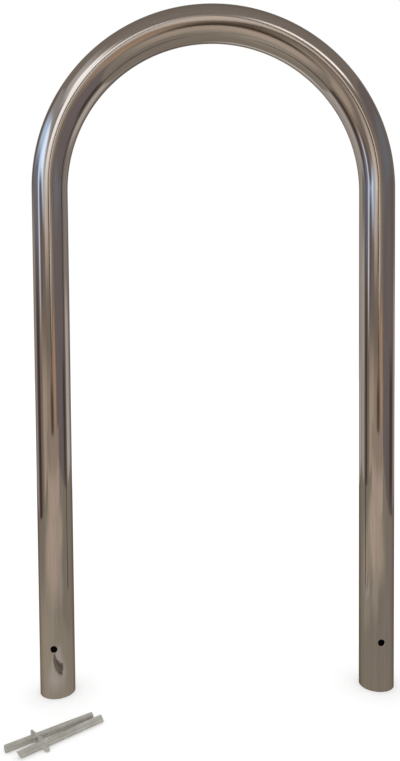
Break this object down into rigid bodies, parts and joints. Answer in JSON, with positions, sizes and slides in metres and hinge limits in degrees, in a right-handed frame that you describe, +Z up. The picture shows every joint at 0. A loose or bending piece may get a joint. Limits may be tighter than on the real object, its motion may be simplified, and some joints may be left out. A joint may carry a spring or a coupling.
{
  "type": "hoop bike rack",
  "caption": "Upturned-U bicycle hoop bent from one polished stainless tube, with a cross-hole through each leg's root and loose eared anchor bars for casting into concrete.",
  "frame": {"origin": "midway between the two legs, in the hoop's plane, at the height of the feet", "axes": "+X across the hoop to its right leg, +Y from the front, where the anchor bars lie, to the back, +Z up"},
  "size_m": [0.5399, 0.1894, 0.9949],
  "materials": {
    "polished_stainless_tube": "polished along the tube, satin near the feet",
    "satin_steel_bar": "satin, as drawn"
  },
  "bodies": {
    "hoop": {"hoop_tube": "polished_stainless_tube"},
    "rear_bar": {"anchor_bar_rear": "satin_steel_bar"},
    "front_bar": {"anchor_bar_front": "satin_steel_bar"}
  },
  "joints": [
    {"name": "rear_bar_lift", "type": "slide", "parent": "hoop", "child": "rear_bar", "axis": [-0.4992, 0.7077, 0.5], "range_m": [0, 0.04]},
    {"name": "front_bar_lift", "type": "slide", "parent": "hoop", "child": "front_bar", "axis": [0, 0, 1], "range_m": [0, 0.07]}
  ]
}
